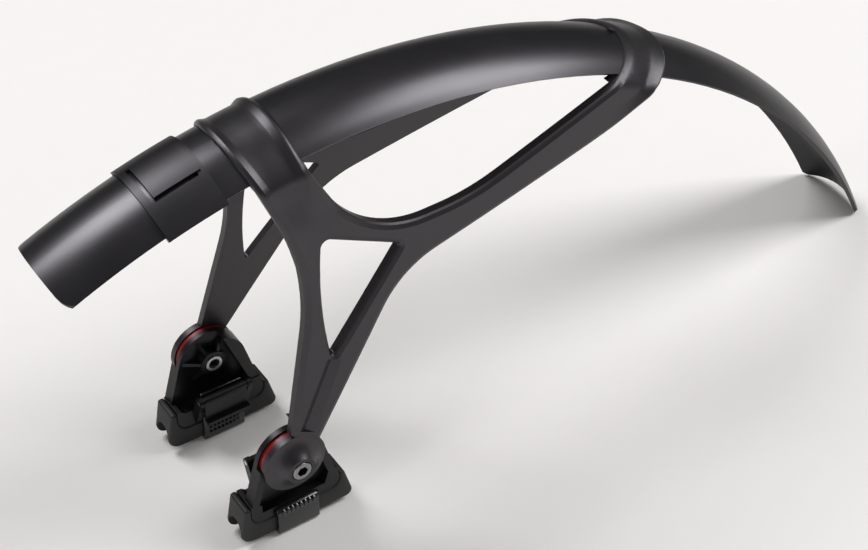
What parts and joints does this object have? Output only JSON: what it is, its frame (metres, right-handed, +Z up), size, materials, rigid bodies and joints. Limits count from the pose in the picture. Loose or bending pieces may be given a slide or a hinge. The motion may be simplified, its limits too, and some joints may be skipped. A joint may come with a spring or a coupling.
{
  "type": "bicycle mudguard",
  "caption": "Rear bicycle mudguard: an arched blade with a pull-out front extension, held by a moulded looped stay whose legs end in pivoting strap-on feet.",
  "frame": {"origin": "on the ground under the middle of the part's length, where the feet and the tail stand", "axes": "+X from the bicycle's front towards the tail, +Y to the bicycle's right, +Z up"},
  "size_m": [0.4951, 0.1092, 0.217],
  "materials": {
    "blade_plastic": "satin",
    "collar_plastic": "satin",
    "stay_plastic": "matte",
    "foot_plastic": "matte",
    "pad_rubber": "matte",
    "strap_rubber": "matte",
    "ring_plastic": "satin",
    "bolt_steel": "zinc plated"
  },
  "bodies": {
    "guard": {"blade": "blade_plastic", "stay_frame": "stay_plastic", "coupling_collar": "collar_plastic"},
    "extension": {"front_extension": "blade_plastic"},
    "left_foot": {"left_foot_bracket": "foot_plastic", "left_saddle_pad": "pad_rubber", "left_friction_ring": "ring_plastic", "left_pivot_bolt": "bolt_steel", "left_pivot_nut": "bolt_steel", "left_ladder_strap": "strap_rubber", "left_lever_pin": "bolt_steel"},
    "left_lever": {"left_buckle_lever": "foot_plastic"},
    "right_foot": {"right_foot_bracket": "foot_plastic", "right_saddle_pad": "pad_rubber", "right_friction_ring": "ring_plastic", "right_pivot_bolt": "bolt_steel", "right_pivot_nut": "bolt_steel", "right_ladder_strap": "strap_rubber", "right_lever_pin": "bolt_steel"},
    "right_lever": {"right_buckle_lever": "foot_plastic"}
  },
  "joints": [
    {"name": "extension_slide", "type": "hinge", "parent": "guard", "child": "extension", "pos_m": [-0.09058, 0, -0.158], "axis": [0, 1, 0], "range_deg": [-6, 0]},
    {"name": "left_foot_pivot", "type": "hinge", "parent": "guard", "child": "left_foot", "pos_m": [-0.15308, -0.041, 0.046], "axis": [0, 1, 0], "range_deg": [-35, 35]},
    {"name": "left_lever_pivot", "type": "hinge", "parent": "left_foot", "child": "left_lever", "pos_m": [-0.15308, -0.024, 0.033], "axis": [1, 0, 0], "range_deg": [0, 35], "stiffness_Nm_per_rad": 0.004, "springref_deg": -17.19},
    {"name": "right_foot_pivot", "type": "hinge", "parent": "guard", "child": "right_foot", "pos_m": [-0.15308, 0.041, 0.046], "axis": [0, 1, 0], "range_deg": [-35, 35]},
    {"name": "right_lever_pivot", "type": "hinge", "parent": "right_foot", "child": "right_lever", "pos_m": [-0.15308, 0.024, 0.033], "axis": [-1, 0, 0], "range_deg": [0, 35], "stiffness_Nm_per_rad": 0.004, "springref_deg": -17.19}
  ]
}
